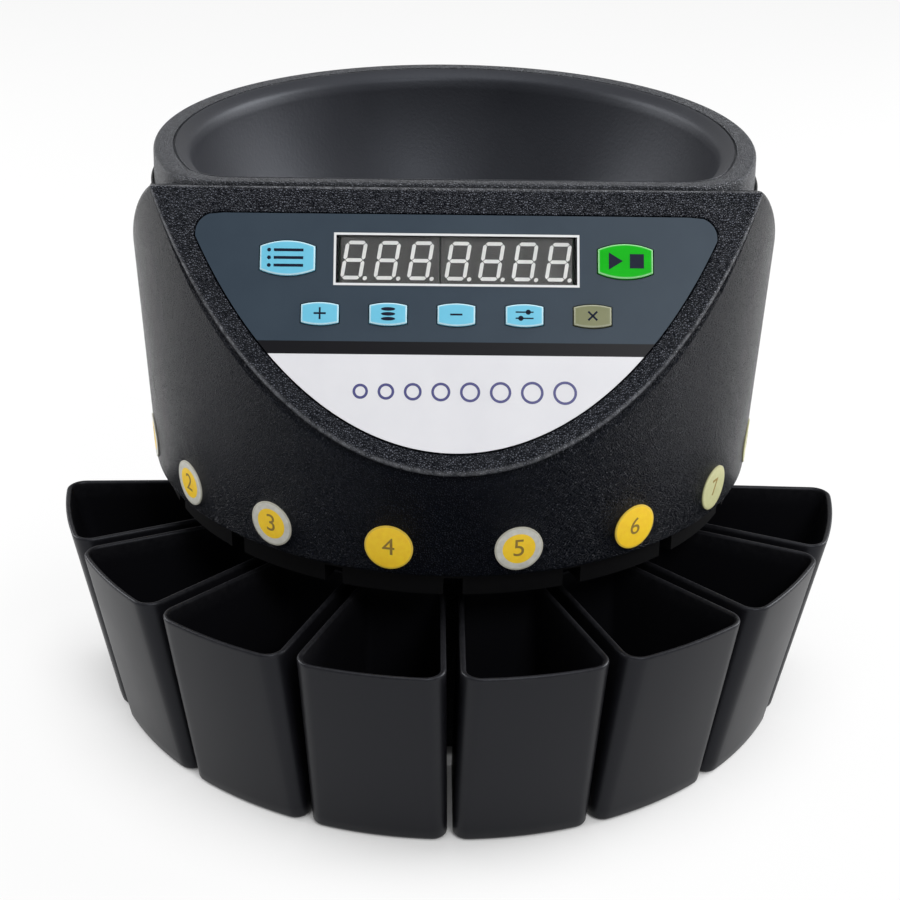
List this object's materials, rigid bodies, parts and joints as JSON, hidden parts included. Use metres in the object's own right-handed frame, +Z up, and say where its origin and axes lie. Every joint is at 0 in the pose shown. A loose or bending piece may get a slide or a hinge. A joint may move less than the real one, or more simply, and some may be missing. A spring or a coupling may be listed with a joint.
{
  "type": "coin sorter",
  "caption": "Round counter-top coin sorter: a drum with a D-shaped hopper, a sloping display and key panel, and wedge-shaped cups in an arc below that catch the sorted coins.",
  "frame": {"origin": "on the table, under the middle of the whole object's outline box; the drum's axis stands 17.9 mm behind it", "axes": "+Z up, parallel to the disc's axis, -Y towards the user's side with the panel and the cups, +X to the user's right"},
  "size_m": [0.3402, 0.3056, 0.244],
  "materials": {
    "housing_black": "fine leather-grain texture, satin",
    "hopper_black": "smooth satin",
    "cup_black": "smooth satin",
    "overlay_print": "printed film, slate above and white below",
    "clear_window": "clear plastic",
    "led_face": "dark grey face",
    "key_blue": "satin",
    "key_green": "satin",
    "key_olive": "satin",
    "label_yellow": "printed sticker",
    "circuit_board": "solder mask",
    "rocker_black": "gloss",
    "deck_black": "black powder coat",
    "zinc_plate": "zinc plated",
    "bright_steel": "turned",
    "motor_grey": "satin",
    "gear_plastic": "natural",
    "rubber_black": "matt",
    "transformer_yellow": "tape wound",
    "capacitor_blue": "sleeve"
  },
  "bodies": {
    "frame": {"base_plate": "housing_black", "rubber_feet": "rubber_black", "base_screws": "zinc_plate", "lower_housing": "housing_black", "power_inlet": "housing_black", "inlet_pins": "bright_steel", "switch_frame": "housing_black", "power_board": "circuit_board", "power_board_posts": "gear_plastic", "power_transformer": "transformer_yellow", "power_capacitor": "capacitor_blue", "deck_plate": "deck_black", "deck_screws": "zinc_plate", "chute_ring": "housing_black", "chute_sensors": "housing_black", "sorting_ring": "bright_steel", "bearing_housing": "zinc_plate", "spindle_bearings": "bright_steel", "drive_motor": "motor_grey", "motor_bracket": "zinc_plate", "bracket_posts": "bright_steel", "main_housing": "housing_black", "housing_screws": "zinc_plate", "panel_overlay": "overlay_print", "display_window": "clear_window", "led_display_left": "led_face", "led_display_right": "led_face", "control_board": "circuit_board", "control_board_screws": "zinc_plate", "key_switches": "housing_black", "coin_labels": "label_yellow"},
    "disc_rotor": {"spindle": "bright_steel", "drive_gear": "gear_plastic", "coin_disc": "bright_steel", "disc_fingers": "rubber_black", "disc_cap": "housing_black"},
    "motor_rotor": {"motor_pinion": "bright_steel"},
    "hopper": {"hopper_bowl": "hopper_black"},
    "power_rocker": {"switch_rocker": "rocker_black"},
    "report_key": {"report_key": "key_blue"},
    "start_stop_key": {"start_stop_key": "key_green"},
    "plus_key": {"plus_key": "key_blue"},
    "batch_key": {"batch_key": "key_blue"},
    "minus_key": {"minus_key": "key_blue"},
    "set_key": {"set_key": "key_blue"},
    "clear_key": {"clear_key": "key_olive"},
    "coin_cup_1": {"coin_cup_1": "cup_black"},
    "coin_cup_2": {"coin_cup_2": "cup_black"},
    "coin_cup_3": {"coin_cup_3": "cup_black"},
    "coin_cup_4": {"coin_cup_4": "cup_black"},
    "coin_cup_5": {"coin_cup_5": "cup_black"},
    "coin_cup_6": {"coin_cup_6": "cup_black"},
    "coin_cup_7": {"coin_cup_7": "cup_black"},
    "coin_cup_8": {"coin_cup_8": "cup_black"}
  },
  "joints": [
    {"name": "disc_spin", "type": "hinge", "parent": "frame", "child": "disc_rotor", "pos_m": [0, 0.01787, 0.1], "axis": [0, 0, 1], "continuous": true},
    {"name": "motor_spin", "type": "hinge", "parent": "frame", "child": "motor_rotor", "pos_m": [0, 0.07787, 0.09], "axis": [0, 0, 1], "continuous": true},
    {"name": "hopper_lift", "type": "slide", "parent": "frame", "child": "hopper", "axis": [0, 0, 1], "range_m": [0, 0.1]},
    {"name": "power_rock", "type": "hinge", "parent": "frame", "child": "power_rocker", "pos_m": [-0.02, 0.13037, 0.046], "axis": [1, 0, 0], "range_deg": [-14, 0]},
    {"name": "report_key_press", "type": "slide", "parent": "frame", "child": "report_key", "axis": [0, 0.8192, -0.5736], "range_m": [0, 0.0006], "stiffness_N_per_m": 1500, "springref_m": -0.0004},
    {"name": "start_stop_key_press", "type": "slide", "parent": "frame", "child": "start_stop_key", "axis": [0, 0.8192, -0.5736], "range_m": [0, 0.0006], "stiffness_N_per_m": 1500, "springref_m": -0.0004},
    {"name": "plus_key_press", "type": "slide", "parent": "frame", "child": "plus_key", "axis": [0, 0.8192, -0.5736], "range_m": [0, 0.0006], "stiffness_N_per_m": 1500, "springref_m": -0.0004},
    {"name": "batch_key_press", "type": "slide", "parent": "frame", "child": "batch_key", "axis": [0, 0.8192, -0.5736], "range_m": [0, 0.0006], "stiffness_N_per_m": 1500, "springref_m": -0.0004},
    {"name": "minus_key_press", "type": "slide", "parent": "frame", "child": "minus_key", "axis": [0, 0.8192, -0.5736], "range_m": [0, 0.0006], "stiffness_N_per_m": 1500, "springref_m": -0.0004},
    {"name": "set_key_press", "type": "slide", "parent": "frame", "child": "set_key", "axis": [0, 0.8192, -0.5736], "range_m": [0, 0.0006], "stiffness_N_per_m": 1500, "springref_m": -0.0004},
    {"name": "clear_key_press", "type": "slide", "parent": "frame", "child": "clear_key", "axis": [0, 0.8192, -0.5736], "range_m": [0, 0.0006], "stiffness_N_per_m": 1500, "springref_m": -0.0004},
    {"name": "coin_cup_1_pull", "type": "slide", "parent": "frame", "child": "coin_cup_1", "axis": [-0.9744, -0.225, 0], "range_m": [0, 0.08]},
    {"name": "coin_cup_2_pull", "type": "slide", "parent": "frame", "child": "coin_cup_2", "axis": [-0.8192, -0.5736, 0], "range_m": [0, 0.08]},
    {"name": "coin_cup_3_pull", "type": "slide", "parent": "frame", "child": "coin_cup_3", "axis": [-0.5446, -0.8387, 0], "range_m": [0, 0.08]},
    {"name": "coin_cup_4_pull", "type": "slide", "parent": "frame", "child": "coin_cup_4", "axis": [-0.1908, -0.9816, 0], "range_m": [0, 0.08]},
    {"name": "coin_cup_5_pull", "type": "slide", "parent": "frame", "child": "coin_cup_5", "axis": [0.1908, -0.9816, 0], "range_m": [0, 0.08]},
    {"name": "coin_cup_6_pull", "type": "slide", "parent": "frame", "child": "coin_cup_6", "axis": [0.5446, -0.8387, 0], "range_m": [0, 0.08]},
    {"name": "coin_cup_7_pull", "type": "slide", "parent": "frame", "child": "coin_cup_7", "axis": [0.8192, -0.5736, 0], "range_m": [0, 0.08]},
    {"name": "coin_cup_8_pull", "type": "slide", "parent": "frame", "child": "coin_cup_8", "axis": [0.9744, -0.225, 0], "range_m": [0, 0.08]}
  ],
  "couplings": [
    {"joint": "motor_spin", "follows": "disc_spin", "ratio": -4}
  ]
}
